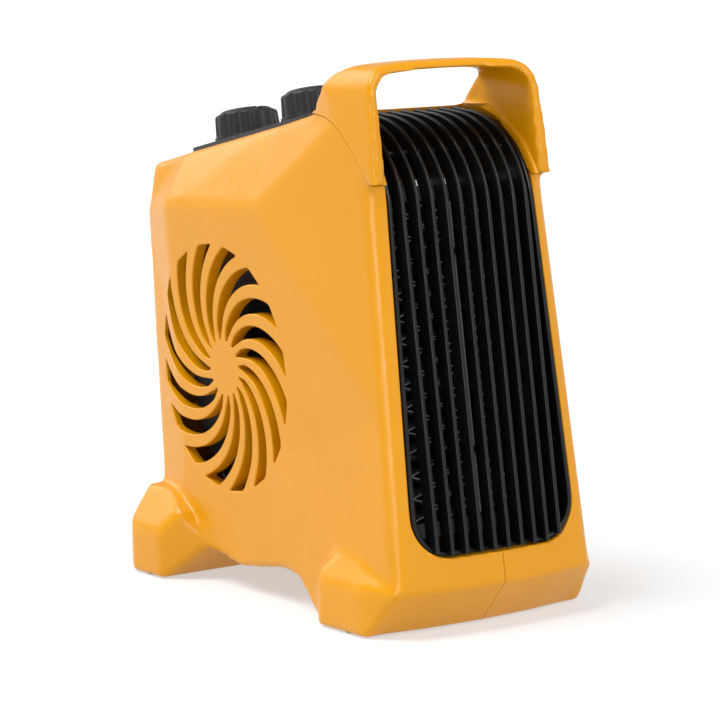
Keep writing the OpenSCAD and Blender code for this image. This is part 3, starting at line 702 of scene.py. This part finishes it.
def rib_path():
    """Points and inward normals of the grille's side curve, from the foot to the deck."""
    start, end, steps = -7, -86, 16
    p0, n0 = Vector(RIB_FOOT), Vector((1, 0))
    p1, n1 = on_bend(start)
    out = [(p0.lerp(p1, i / steps), n0.lerp(n1, i / steps).normalized()) for i in range(steps)]
    out += [on_bend(a) for a in range(start, end, -3)]
    out.append((Vector(DECK_END), Vector((0, -1))))
    return out


def rib_bow(x):
    """How far the grille stands forward of its side curve at x."""
    return RIB_BOW * (1 - (x / GRILLE_HALF_W) ** 2)


def swept(name, profile, path, x0=0.0, bow=0.0):
    """A closed profile of (x, inward offset) points carried along the grille's side curve."""
    rings = [[(x0 + x, p.x + d * n.x - bow, p.y + d * n.y) for x, d in profile] for p, n in path]
    return loft(name, rings)


# ---- shells and handle --------------------------------------------------------------


def copy_of(obj, name):
    return link(name, obj.data.copy())


LEG_INNER_X = 42.9
SHELL_GAP = 0.17   # half the gap between the two shells
HANDLE_GAP = 0.35


def ledge(side):
    """The inner edge of a handle leg, which follows the grille's side curve."""
    crest = [(LEG_INNER_X, 4.5), (LEG_INNER_X, -1.2), (43.05, -2.3), (43.5, -3.05),
             (44.2, -3.4), (45.0, -3.35), (45.8, -3.0), (46.8, -2.2), (46.8, 4.5)]
    path = [q for q in rib_path() if q[0].y > 199]
    return swept("ledge", [(side * x, d) for x, d in crest], path)


def make_handle():
    """The part of the skin above the seam, opened for the grille between its legs."""
    handle = boolean(copy_of(skin, "handle_body"), handle_room(0), "INTERSECT")
    low, high = 190, 246.2
    gap = [(-LEG_INNER_X, low), (LEG_INNER_X, low), (LEG_INNER_X, high), (-LEG_INNER_X, high)]
    boolean(handle, prism("y", gap, -140, -43.2))
    for side in (-1, 1):
        part = ledge(side)
        boolean(part, handle_room(0), "INTERSECT")
        boolean(handle, part, "UNION")
    return handle


def make_shells():
    """The rest of the skin, hollow, with its openings, as a left and a right half."""
    shell = copy_of(skin, "shell")
    boolean(shell, handle_room(HANDLE_GAP))
    boolean(shell, cavity())
    boolean(shell, slot_cutters())
    boolean(shell, grille_cutter())
    boolean(shell, small_cutters())
    halves = []
    for side, name in ((-1, "left_shell_skin"), (1, "right_shell_skin")):
        half = copy_of(shell, name)
        lo, hi = sorted((side * SHELL_GAP, side * 90))
        boolean(half, prism("z", [(lo, -150), (hi, -150), (hi, 150), (lo, 150)], -5, 290),
                "INTERSECT")
        halves.append(half)
    remove(shell)
    return halves


left_shell, right_shell = make_shells()
handle = make_handle()
remove(skin)
for piece in (left_shell, right_shell, handle):
    smooth_shade(piece)
    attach(piece, "casing")
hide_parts("left_shell")
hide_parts("right_shell")
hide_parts("handle")

# ---- grille -------------------------------------------------------------------------

RIB_COUNT = 10
RIB_PITCH = 8.0
RIB_T = 2.2
RIB_DEPTH = 6.4
RIB_PROUD = 0.5
RIM_W = 2.35
BAR_R = 1.7
BARS = [(-85.4, 226.2, 42.0), (-97, 179, 44.5), (-108.5, 85, 44.5)]  # (y, z, half length)
RIB_PATH = rib_path()


def curve_at(z):
    """Point and inward normal of the grille's side curve at a height."""
    for (p, n), (q, m) in zip(RIB_PATH, RIB_PATH[1:]):
        if z <= q.y:
            t = max(0.0, (z - p.y) / (q.y - p.y))
            return p.lerp(q, t), n.lerp(m, t).normalized()
    return RIB_PATH[-1]


def rib(x):
    """A rib with a round front edge, bowed forward in the middle of the grille."""
    half = RIB_T / 2
    tip = [(half * math.cos(math.radians(a)), -RIB_PROUD + half * math.sin(math.radians(a)))
           for a in range(180, 361, 20)]
    profile = [(-half, RIB_DEPTH)] + tip + [(half, RIB_DEPTH)]
    foot = grille_bottom(x) + 1
    path = [curve_at(foot)] + [q for q in RIB_PATH if q[0].y > foot + 1]
    return swept("rib", profile, path, x, rib_bow(x))


def opening_x(z):
    """Half width of the opening at height z, above its corners."""
    for (high, x0), (low, x1) in zip(OPENING_SIDE, OPENING_SIDE[1:]):
        if z >= high:
            return x0
        if z >= low:
            return x0 + (x1 - x0) * (high - z) / (high - low)
    return OPENING_SIDE[-1][1]


def rim_outline(g):
    """The rim's path round the opening, from the left top down and up to the right top."""
    heights = list(range(242, 204, -3)) + list(range(205, 66, -15)) + [62]
    left = [(-opening_x(z) - g, z) for z in heights]
    left += grille_corner(g, range(6, 91, 6))
    return both_sides(left + [(x, z - g) for x, z in OPENING_BOTTOM])


def rim():
    """The frame round the ribs. Its section is (distance inwards, depth), rounded in front."""
    inner, outer = rim_outline(-2.4), rim_outline(-0.05)
    section = [(0, 1.1), (0.25, 0.6), (0.75, 0.4), (1.6, 0.4), (2.1, 0.6), (RIM_W, 1.1),
               (RIM_W, 7.9), (0, 7.9)]
    rings = []
    for (x0, z0), (x1, z1) in zip(outer, inner):
        ring = []
        for across, depth in section:
            t = across / RIM_W
            x, z = x0 + (x1 - x0) * t, z0 + (z1 - z0) * t
            p, n = curve_at(z)
            ring.append((x, p.x + n.x * depth, z + n.y * depth))
        rings.append(ring)
    return loft("rim", rings)


def crossbar(y, z, span):
    ring = circle(y, z, BAR_R, 24)
    return loft("bar", [[(x, a, b) for a, b in ring] for x in (-span, 0, span)])


def make_grille():
    xs = [(i - (RIB_COUNT - 1) / 2) * RIB_PITCH for i in range(RIB_COUNT)]
    return join([rib(x) for x in xs] + [crossbar(*bar) for bar in BARS] + [rim()],
                "grille_body")


grille = make_grille()
smooth_shade(grille, 40)

# ---- knobs and pointers --------------------------------------------------------------


def on_deck(obj, y):
    """Moves a mesh made at the origin to the deck at depth y, square to its slope."""
    obj.data.transform(Matrix.Translation(Vector((0, y, deck(y))) * MM)
                       @ Matrix.Rotation(-DECK_SLOPE, 4, "X"))
    return obj


def flute_r(theta, r):
    """Radius of a fluted wall whose plain radius is r."""
    pitch = 2 * math.pi / FLUTES
    off = (theta + pitch / 2) % pitch - pitch / 2
    off = pitch / 2 - abs(off)
    centre, bite = KNOB_R + 2.2, 4.4
    reach = bite ** 2 - (centre * math.sin(off)) ** 2
    if reach <= 0:
        return r
    groove = centre * math.cos(off) - math.sqrt(reach)
    soft = 0.12
    return min(r, groove) - soft * math.exp(-abs(r - groove) / soft)


def knob_profile():
    """(radius, height, how much of the flutes shows) from the skirt to the crown."""
    edge = [(KNOB_R - 1.4 - 1.5 * (1 - math.cos(math.radians(a))),
             KNOB_H - 3.6 + 1.5 * math.sin(math.radians(a)), 1) for a in (0, 22, 45, 60)]
    crown = [(KNOB_R - 3.9, KNOB_H - 1.5, 0.8), (KNOB_R - 4.9, KNOB_H - 0.7, 0.4),
             (KNOB_R - 6.0, KNOB_H - 0.25, 0), (KNOB_R - 7.4, KNOB_H - 0.05, 0)]
    return ([(KNOB_R - 0.5, 0, 0), (KNOB_R - 0.1, 0.3, 0), (KNOB_R, 0.8, 0),
             (KNOB_R, 1.8, 0), (KNOB_R - 0.15, 2.2, 0), (KNOB_R - 0.6, 2.4, 0),
             (KNOB_R - 0.75, 2.5, 1)] + edge + crown)


def knob(y, name):
    """A fluted knob with a groove for its pointer and a bore for its shaft."""
    steps = FLUTES * 18
    rings = []
    for r, z, fluted in knob_profile():
        ring = []
        for i in range(steps):
            a = 2 * math.pi * i / steps
            cut = flute_r(a, r) if fluted else r
            rr = r + (min(cut, r) - r) * fluted
            ring.append((rr * math.cos(a), rr * math.sin(a), z + KNOB_BASE))
        rings.append(ring)
    body = loft(name, rings)
    top = KNOB_BASE + KNOB_H
    half, near, far = 1.15, -KNOB_R + 2.6, -1.9
    slot = [(-half, near), (half, near), (half, far), (-half, far)]
    boolean(body, prism("z", slot, top - 0.9, top + 2))
    bore = prism("z", circle(0, 0, 3.0, 40), KNOB_BASE - 1, KNOB_BASE + 10)
    boolean(body, bore)
    return on_deck(body, y)


def pointer(y, name):
    """White bar set in the knob's top, with rounded ends and edges."""
    top = KNOB_BASE + KNOB_H
    near, far, half = -KNOB_R + 3.9, -3.0, 0.95

    def outline(g):
        ends = [(far, 0), (near, 180)]
        return [((half - g) * math.cos(math.radians(a + turn)),
                 mid + (half - g) * math.sin(math.radians(a + turn)))
                for mid, turn in ends for a in range(0, 181, 15)]

    rings = [[(x, yy, z) for x, yy in outline(g)]
             for z, g in ((top - 0.8, 0), (top, 0), (top + 0.12, 0.08), (top + 0.18, 0.25))]
    return on_deck(loft(name, rings), y)


controls = []
for body, prefix, y in (("mode_dial", "mode", SELECTOR_Y),
                        ("thermostat_dial", "thermostat", THERMOSTAT_Y)):
    dial, mark = knob(y, prefix + "_knob_fluted"), pointer(y, prefix + "_pointer_bar")
    for piece, node, finish in ((dial, "_knob", "knob_black"), (mark, "_pointer", "pointer_white")):
        smooth_shade(piece, 35)
        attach(piece, body)
        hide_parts(prefix + node)
        controls.append((piece, finish))

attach(grille, "casing")
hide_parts("front_grille")

# ---- finish of the CAD nodes -----------------------------------------------------------

WELD_GAP = 0.000004  # metres
DEFAULT_EDGE = 0.3


def smooth_by_angle(angle):
    """A modifier group that shades smooth and keeps edges above the angle sharp."""
    group = bpy.data.node_groups.new("smooth_by_angle", "GeometryNodeTree")
    group.interface.new_socket("Geometry", in_out="INPUT", socket_type="NodeSocketGeometry")
    group.interface.new_socket("Geometry", in_out="OUTPUT", socket_type="NodeSocketGeometry")
    make = group.nodes.new
    start, end = make("NodeGroupInput"), make("NodeGroupOutput")
    faces, edges = make("GeometryNodeSetShadeSmooth"), make("GeometryNodeSetShadeSmooth")
    faces.domain, edges.domain = "FACE", "EDGE"
    edges.inputs["Shade Smooth"].default_value = False
    bend, test = make("GeometryNodeInputMeshEdgeAngle"), make("FunctionNodeCompare")
    test.operation = "GREATER_THAN"
    test.inputs["B"].default_value = math.radians(angle)
    wire = group.links.new
    wire(start.outputs[0], faces.inputs["Geometry"])
    wire(faces.outputs[0], edges.inputs["Geometry"])
    wire(bend.outputs["Unsigned Angle"], test.inputs["A"])
    wire(test.outputs[0], edges.inputs["Selection"])
    wire(edges.outputs[0], end.inputs[0])
    return group


SMOOTH = smooth_by_angle(30)
EDGE_WIDTH = {"control_panel": 0.9, "foot_pads": 0.2, "heater_fins": 0, "wiring": 0,
              "panel_screws": 0.15, "handle_screws": 0.15, "shell_screws": 0.15,
              "motor_screws": 0.1, "terminal_screws": 0.1, "blower_wheel": 0}


def dress(obj, width):
    """Rounds a CAD node's edges with modifiers and leaves its mesh alone."""
    weld = obj.modifiers.new("weld", "WELD")
    weld.merge_threshold = WELD_GAP
    if width:
        flat = obj.modifiers.new("flat", "DECIMATE")
        flat.decimate_type = "DISSOLVE"
        flat.angle_limit = math.radians(0.4)
        edge = obj.modifiers.new("edges", "BEVEL")
        edge.width = width * MM
        edge.segments = 3 if width > 0.5 else 2
        edge.limit_method = "ANGLE"
        edge.angle_limit = math.radians(40)
        edge.miter_outer = "MITER_ARC"
    shade = obj.modifiers.new("shade", "NODES")
    shade.node_group = SMOOTH
    normals = obj.modifiers.new("normals", "WEIGHTED_NORMAL")
    normals.keep_sharp = True


REPLACED = {"left_shell", "right_shell", "handle", "front_grille", "mode_knob", "mode_pointer",
            "thermostat_knob", "thermostat_pointer"}
NODE_SLOT = {part["node"]: part["material_slot"] for part in frame["record"]["subparts"]}
for node_name, node_obj in NODES.items():
    if node_name not in REPLACED:
        dress(node_obj, EDGE_WIDTH.get(node_name, DEFAULT_EDGE))

# ---- materials ----------------------------------------------------------------------


class Shade:
    """A Principled material whose colour, roughness and bump come from nodes."""

    def __init__(self, name, metallic=0.0, coat=0.0, coat_roughness=0.1, ior=1.5,
                 specular=0.5):
        self.material = bpy.data.materials.new(name)
        self.material.use_nodes = True
        self.tree = self.material.node_tree
        self.shader = self.tree.nodes["Principled BSDF"]
        self.set("Metallic", metallic)
        self.set("Coat Weight", coat)
        self.set("Coat Roughness", coat_roughness)
        self.set("IOR", ior)
        self.set("Specular IOR Level", specular)
        self.place = self.node("ShaderNodeTexCoord").outputs["Object"]

    def node(self, kind, **values):
        made = self.tree.nodes.new(kind)
        for key, value in values.items():
            setattr(made, key, value)
        return made

    def set(self, socket, value):
        self.shader.inputs[socket].default_value = value

    def wire(self, a, b):
        self.tree.links.new(a, b)

    def noise(self, scale, detail=3.0, stretch=(1, 1, 1), rough=0.55):
        spread = self.node("ShaderNodeMapping")
        spread.inputs["Scale"].default_value = stretch
        made = self.node("ShaderNodeTexNoise")
        made.inputs["Scale"].default_value = scale
        made.inputs["Detail"].default_value = detail
        made.inputs["Roughness"].default_value = rough
        self.wire(self.place, spread.inputs["Vector"])
        self.wire(spread.outputs["Vector"], made.inputs["Vector"])
        return made.outputs["Fac"]

    def remap(self, value, lo, hi, to_lo, to_hi):
        made = self.node("ShaderNodeMapRange")
        for key, number in (("From Min", lo), ("From Max", hi), ("To Min", to_lo),
                            ("To Max", to_hi)):
            made.inputs[key].default_value = number
        self.wire(value, made.inputs["Value"])
        return made.outputs["Result"]

    def times(self, a, b):
        made = self.node("ShaderNodeMath", operation="MULTIPLY")
        self.wire(a, made.inputs[0])
        self.wire(b, made.inputs[1])
        return made.outputs[0]

    def blend(self, factor, first, second):
        """Colour that goes from first to second. Each may be a colour or an output."""
        made = self.node("ShaderNodeMix", data_type="RGBA")
        self.wire(factor, made.inputs["Factor"])
        for socket, colour in ((6, first), (7, second)):
            if isinstance(colour, tuple):
                made.inputs[socket].default_value = (*colour, 1)
            else:
                self.wire(colour, made.inputs[socket])
        return made.outputs[2]

    def worn_edges(self, radius):
        """1 on the part's outer edges, broken up by noise."""
        round_normal = self.node("ShaderNodeBevel", samples=4)
        round_normal.inputs["Radius"].default_value = radius * MM
        plain = self.node("ShaderNodeNewGeometry")
        match = self.node("ShaderNodeVectorMath", operation="DOT_PRODUCT")
        self.wire(round_normal.outputs["Normal"], match.inputs[0])
        self.wire(plain.outputs["Normal"], match.inputs[1])
        edge = self.remap(match.outputs["Value"], 0.99, 0.86, 0, 1)
        return self.times(edge, self.remap(self.noise(420, 4), 0.42, 0.62, 0, 1))

    def bump(self, height, strength, distance):
        made = self.node("ShaderNodeBump")
        made.inputs["Strength"].default_value = strength
        made.inputs["Distance"].default_value = distance * MM
        self.wire(height, made.inputs["Height"])
        self.wire(made.outputs["Normal"], self.shader.inputs["Normal"])


def plastic(name, colour, rough, grain=1400, depth=0.05, tint=0.05, wear=0.25, **gloss):
    """Moulded plastic: faint colour drift, fine grain, scuffed roughness, paler edges."""
    m = Shade(name, **gloss)
    pale = tuple(min(1.0, c * (1 + tint)) for c in colour)
    deep = tuple(c * (1 - tint) for c in colour)
    rubbed = tuple(min(1.0, c + 0.35 * (1 - c) * wear) for c in colour)
    body = m.blend(m.remap(m.noise(16, 4), 0.3, 0.7, 0, 1), deep, pale)
    m.wire(m.blend(m.worn_edges(0.35), body, rubbed), m.shader.inputs["Base Color"])
    m.wire(m.remap(m.noise(90, 5), 0.3, 0.75, rough - 0.05, rough + 0.07),
           m.shader.inputs["Roughness"])
    m.bump(m.noise(grain, 3), 0.35, depth)
    return m.material


def metal(name, colour, rough, stretch=(1, 1, 1), grain=900, tint=0.10, depth=0.02):
    """Bare or plated metal: drawn grain, tarnish in patches and bright edges."""
    m = Shade(name, metallic=1.0)
    deep = tuple(c * (1 - tint) for c in colour)
    bright = tuple(min(1.0, c * 1.15 + 0.04) for c in colour)
    lines = m.noise(grain, 4, stretch)
    patches = m.remap(m.noise(60, 5), 0.35, 0.7, 0, 1)
    body = m.blend(patches, colour, deep)
    m.wire(m.blend(m.worn_edges(0.2), body, bright), m.shader.inputs["Base Color"])
    m.wire(m.remap(lines, 0.3, 0.7, rough - 0.08, rough + 0.1), m.shader.inputs["Roughness"])
    m.bump(lines, 0.4, depth)
    return m.material


def windings(name, colour):
    """Enamelled copper wire: parallel turns with a warm varnish."""
    m = Shade(name, metallic=0.85, coat=0.5, coat_roughness=0.2)
    turns = m.node("ShaderNodeTexWave", wave_type="BANDS", bands_direction="X")
    turns.inputs["Scale"].default_value = 260
    turns.inputs["Distortion"].default_value = 0.6
    m.wire(m.place, turns.inputs["Vector"])
    body = m.blend(turns.outputs["Fac"], tuple(c * 0.55 for c in colour), colour)
    m.wire(body, m.shader.inputs["Base Color"])
    m.wire(m.remap(m.noise(200), 0.3, 0.7, 0.25, 0.4), m.shader.inputs["Roughness"])
    m.bump(turns.outputs["Fac"], 0.5, 0.08)
    return m.material


def mineral(name, colour, speck, rough):
    """Fired ceramic: speckled, matte, with a slight bake stain."""
    m = Shade(name)
    specks = m.remap(m.noise(1700, 2), 0.58, 0.66, 0, 1)
    stain = m.remap(m.noise(40, 4), 0.4, 0.7, 0, 0.5)
    body = m.blend(stain, colour, tuple(c * 0.8 for c in colour))
    m.wire(m.blend(specks, body, speck), m.shader.inputs["Base Color"])
    m.wire(m.remap(m.noise(300), 0.3, 0.7, rough - 0.06, rough + 0.06),
           m.shader.inputs["Roughness"])
    m.bump(m.noise(1700, 3), 0.4, 0.04)
    return m.material


MATERIALS = {
    "yellow_shell": plastic("yellow_shell", (0.575, 0.238, 0.0), 0.30, grain=900, depth=0.004,
                            tint=0.025, wear=0.03, specular=0.32),
    "grille_black": plastic("grille_black", (0.004, 0.0039, 0.0038), 0.30, grain=700, depth=0.01,
                            tint=0.1, wear=0.02, ior=1.34),
    "panel_black": plastic("panel_black", (0.016, 0.0155, 0.015), 0.42, depth=0.05, wear=0.08),
    "knob_black": plastic("knob_black", (0.010, 0.0097, 0.0095), 0.46, depth=0.03, wear=0.05,
                          ior=1.4),
    "pointer_white": plastic("pointer_white", (0.82, 0.82, 0.80), 0.42, depth=0.02, wear=0.02),
    "duct_black": plastic("duct_black", (0.012, 0.012, 0.012), 0.55, depth=0.06, wear=0.1),
    "wheel_grey": plastic("wheel_grey", (0.05, 0.05, 0.052), 0.5, depth=0.04, wear=0.15),
    "rubber_black": plastic("rubber_black", (0.018, 0.018, 0.018), 0.75, grain=1100,
                            depth=0.10, wear=0.12),
    "insulator_white": plastic("insulator_white", (0.72, 0.70, 0.64), 0.48, wear=0.05),
    "plated_steel": metal("plated_steel", (0.60, 0.60, 0.61), 0.32, (1, 1, 6)),
    # The aluminium colour is set far darker than bare aluminium. It is painted shade, standing in
    # for the shade on the heater's fins and frame behind the grille.
    "aluminium": metal("aluminium", (0.20, 0.20, 0.205), 0.55, (1, 8, 1), tint=0.18),
    "bronze": metal("bronze", (0.55, 0.36, 0.16), 0.42),
    "brass": metal("brass", (0.72, 0.53, 0.22), 0.34, (4, 1, 1)),
    "copper": windings("copper", (0.80, 0.36, 0.16)),
    "ptc_ceramic": mineral("ptc_ceramic", (0.30, 0.27, 0.25), (0.10, 0.09, 0.085), 0.72),
}


def paint(obj, slot_name):
    obj.data.materials.clear()
    obj.data.materials.append(MATERIALS[slot_name])


for node_name, node_obj in NODES.items():
    if node_name not in REPLACED:
        paint(node_obj, NODE_SLOT[node_name])
for piece, finish in controls + [(grille, "grille_black")] + [
        (p, "yellow_shell") for p in (left_shell, right_shell, handle)]:
    paint(piece, finish)

# ---- camera, floor and light --------------------------------------------------------------


def photo_camera():
    """A long lens to the left of the front, a little above it and slightly tilted."""
    turn, rise, roll = math.radians(33.93), math.radians(7.31), math.radians(-1.87)
    back = Vector((-math.sin(turn) * math.cos(rise), -math.cos(turn) * math.cos(rise),
                   math.sin(rise)))
    side = Vector((math.cos(turn), -math.sin(turn), 0))
    up = back.cross(side)
    x = math.cos(roll) * side + math.sin(roll) * up
    y = -math.sin(roll) * side + math.cos(roll) * up
    data = bpy.data.cameras.new("camera")
    data.lens = 142.7
    data.sensor_width = 36
    data.clip_start, data.clip_end = 0.05, 20
    cam = bpy.data.objects.new("camera", data)
    SCENE.collection.objects.link(cam)
    place = Matrix((x, y, back)).transposed().to_4x4()
    place.translation = Vector((0, -8.8, 118.5)) * MM + back * 1.439
    cam.matrix_world = place
    SCENE.camera = cam


def make_world(horizon, zenith):
    """White studio air: bright low down all round, calmer overhead."""
    world = bpy.data.worlds.new("world")
    world.use_nodes = True
    tree = world.node_tree
    make = tree.nodes.new
    place, split = make("ShaderNodeTexCoord"), make("ShaderNodeSeparateXYZ")
    fade = make("ShaderNodeMapRange")
    fade.interpolation_type = "SMOOTHSTEP"
    for key, number in (("From Min", 0.05), ("From Max", 0.3), ("To Min", horizon),
                        ("To Max", zenith)):
        fade.inputs[key].default_value = number
    sky = tree.nodes["Background"]
    sky.inputs["Color"].default_value = (1, 1, 1, 1)
    tree.links.new(place.outputs["Generated"], split.inputs[0])
    tree.links.new(split.outputs["Z"], fade.inputs["Value"])
    tree.links.new(fade.outputs["Result"], sky.inputs["Strength"])
    SCENE.world = world


def sun(name, direction, strength, spread):
    """A large soft source far away. direction points from the heater to the light."""
    data = bpy.data.lights.new(name, "SUN")
    data.energy = strength
    data.angle = math.radians(spread)
    lamp = bpy.data.objects.new(name, data)
    SCENE.collection.objects.link(lamp)
    lamp.rotation_euler = Vector(direction).to_track_quat("Z", "Y").to_euler()
    return lamp


photo_camera()
make_world(1.0, 0.35)
SCENE.view_settings.view_transform = "Standard"
sun("left", (-0.5, 0.12, 1.0), 3.3, 35)
sun("front", (0.3, -0.9, 0.6), 1.8, 40)
sun("rear", (-0.2, 0.8, 0.55), 0.9, 40)
sun("edge", (-0.8, -0.5, 0.12), 0.6, 10)

FLOOR = 20000
floor = mesh_object("floor", [(-FLOOR, -FLOOR, 0), (FLOOR, -FLOOR, 0), (FLOOR, FLOOR, 0),
                              (-FLOOR, FLOOR, 0)], [(0, 1, 2, 3)])
sweep = Shade("studio_floor")
sweep.wire(sweep.blend(sweep.remap(sweep.noise(3, 2), 0.3, 0.7, 0, 1), (0.33, 0.33, 0.33),
                       (0.35, 0.35, 0.35)), sweep.shader.inputs["Base Color"])
sweep.set("Roughness", 0.9)
sweep.set("Emission Color", (1, 1, 1, 1))
sweep.set("Emission Strength", 0.5)
floor.data.materials.append(sweep.material)
